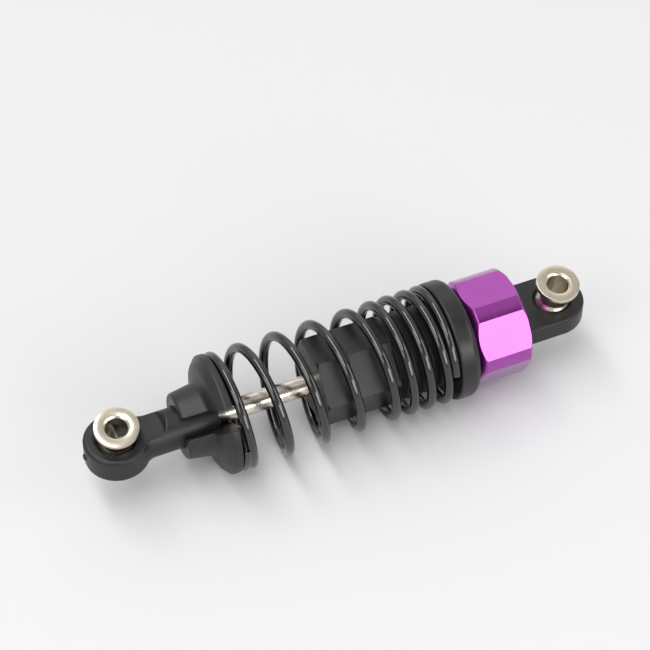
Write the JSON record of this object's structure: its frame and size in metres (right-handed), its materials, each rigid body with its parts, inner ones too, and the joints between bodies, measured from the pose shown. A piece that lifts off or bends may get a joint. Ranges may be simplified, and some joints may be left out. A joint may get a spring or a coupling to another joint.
{
  "type": "coilover",
  "caption": "Miniature oil-filled coilover damper: barrel and hexagonal cap inside a progressive coil spring, with a flanged pivot ball in an eye at each end.",
  "frame": {"origin": "centre of the upper pivot ball, on its bolt hole's axis", "axes": "+X along the damper from the lower eye to the upper eye; +Z out of the flat faces of the eyes, the side that the flanges of the pivot balls stand on; Y across"},
  "size_m": [0.0761, 0.0174, 0.0174],
  "materials": {
    "barrel_nylon": "moulded black nylon, satin",
    "cap_purple": "machined and anodised purple, satin sheen",
    "eye_nylon": "moulded black nylon, satin",
    "ball_nickel": "turned and nickel-plated, bright",
    "collar_nylon": "moulded black nylon, satin",
    "perch_nylon": "moulded black nylon, satin",
    "black_rubber": "moulded rubber",
    "seal_silicone": "moulded silicone",
    "guide_acetal": "turned acetal",
    "clip_steel": "stamped spring steel",
    "rod_steel": "ground and plated steel",
    "spring_black": "glossy black coating on spring wire"
  },
  "bodies": {
    "damper": {"cylinder_body": "barrel_nylon", "cylinder_cap": "cap_purple", "upper_eye": "eye_nylon", "bladder": "black_rubber", "cartridge_cap": "barrel_nylon", "rod_guide_lower": "guide_acetal", "rod_seal_lower": "seal_silicone", "rod_seal_spacer": "guide_acetal", "rod_seal_upper": "seal_silicone", "rod_guide_upper": "guide_acetal", "coil_spring": "spring_black"},
    "upper_ball": {"upper_pivot_ball": "ball_nickel"},
    "collar": {"spring_collar": "collar_nylon", "collar_friction_ring": "black_rubber"},
    "perch": {"lower_spring_perch": "perch_nylon"},
    "rod": {"piston_rod": "rod_steel", "piston": "guide_acetal", "piston_clip_lower": "clip_steel", "piston_clip_upper": "clip_steel", "lower_eye": "eye_nylon"},
    "lower_ball": {"lower_pivot_ball": "ball_nickel"}
  },
  "joints": [
    {"name": "rod_slide", "type": "slide", "parent": "damper", "child": "perch", "axis": [1, 0, 0], "range_m": [0, 0.0115], "stiffness_N_per_m": 450, "springref_m": -0.002, "deforming": ["coil_spring"]},
    {"name": "rod_spin", "type": "hinge", "parent": "perch", "child": "rod", "pos_m": [-0.0522, 0, 0], "axis": [1, 0, 0], "continuous": true},
    {"name": "collar_turn", "type": "hinge", "parent": "damper", "child": "collar", "pos_m": [-0.0165, 0, 0], "axis": [1, 0, 0], "continuous": true},
    {"name": "upper_ball_swing", "type": "hinge", "parent": "damper", "child": "upper_ball", "pos_m": [0, 0, 0], "axis": [0.0518, -0.1392, 0.9889], "continuous": true},
    {"name": "lower_ball_swing", "type": "hinge", "parent": "rod", "child": "lower_ball", "pos_m": [-0.0666, 0, 0], "axis": [0, -0.1736, 0.9848], "continuous": true}
  ]
}
